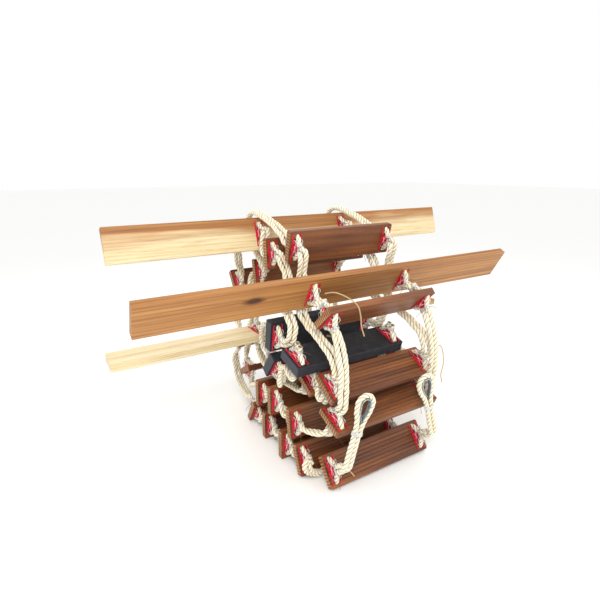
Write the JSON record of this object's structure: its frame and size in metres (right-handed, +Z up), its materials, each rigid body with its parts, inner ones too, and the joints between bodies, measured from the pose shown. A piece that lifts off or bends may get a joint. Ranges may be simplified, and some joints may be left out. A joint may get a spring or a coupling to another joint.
{
  "type": "escape rope ladder",
  "caption": "Rolled-up rope ladder: wooden steps, long spreaders, rubber lower steps, doubled side ropes with wedge chocks, and thimble eyes at the top end.",
  "frame": {"origin": "middle of the footprint, on the ground that the rolled bundle stands on", "axes": "+X along the steps and spreaders to the right, +Y to the back, +Z up; the topmost step and the thimble eyes are at the front"},
  "size_m": [1.84, 1.0824, 1.0466],
  "materials": {
    "hardwood": "oiled",
    "pine": "planed",
    "rubber": "moulded",
    "manila_rope": "laid rope",
    "chock_plastic": "moulded",
    "seizing_twine": "waxed twine",
    "galvanised_steel": "hot-dip galvanised",
    "tan_twine": "natural fibre"
  },
  "bodies": {
    "root": {"rubber_step_1": "rubber", "rubber_step_2": "rubber", "rubber_step_3": "rubber", "spreader_1": "pine", "step_01": "hardwood", "step_02": "hardwood", "step_03": "hardwood", "spreader_2": "pine", "step_04": "hardwood", "step_05": "hardwood", "step_06": "hardwood", "step_07": "hardwood", "step_08": "hardwood", "step_09": "hardwood", "step_10": "hardwood", "step_11": "hardwood", "spreader_3": "pine", "step_12": "hardwood", "step_13": "hardwood", "step_14": "hardwood", "step_15": "hardwood", "step_16": "hardwood", "step_17": "hardwood", "step_18": "hardwood", "step_19": "hardwood", "left_front_rope": "manila_rope", "left_back_rope": "manila_rope", "right_front_rope": "manila_rope", "right_back_rope": "manila_rope", "core_chocks": "chock_plastic", "inner_turn_chocks": "chock_plastic", "middle_turn_chocks": "chock_plastic", "outer_turn_chocks": "chock_plastic", "core_seizings": "seizing_twine", "inner_turn_seizings": "seizing_twine", "middle_turn_seizings": "seizing_twine", "outer_turn_seizings": "seizing_twine", "front_twine_tail": "tan_twine", "core_rope_tail": "manila_rope", "right_twine_tail": "tan_twine"},
    "end_step": {"end_step": "hardwood", "end_step_chocks": "chock_plastic", "end_step_seizings": "seizing_twine", "left_end_rope": "manila_rope", "right_end_rope": "manila_rope", "end_twine_tail": "tan_twine"},
    "left_eye": {"left_eye_rope": "manila_rope", "left_thimble": "galvanised_steel", "left_eye_seizing": "seizing_twine"},
    "right_eye": {"right_eye_rope": "manila_rope", "right_thimble": "galvanised_steel", "right_eye_seizing": "seizing_twine"}
  },
  "joints": [
    {"name": "end_step_tip", "type": "hinge", "parent": "root", "child": "end_step", "pos_m": [0.02, -0.4582, 0], "axis": [1, 0, 0], "range_deg": [0, 38]},
    {"name": "left_eye_swing", "type": "hinge", "parent": "end_step", "child": "left_eye", "pos_m": [-0.211, -0.4713, 0.0965], "axis": [1, 0, 0], "range_deg": [0, 50]},
    {"name": "right_eye_swing", "type": "hinge", "parent": "end_step", "child": "right_eye", "pos_m": [0.251, -0.4713, 0.0965], "axis": [1, 0, 0], "range_deg": [0, 50]}
  ]
}
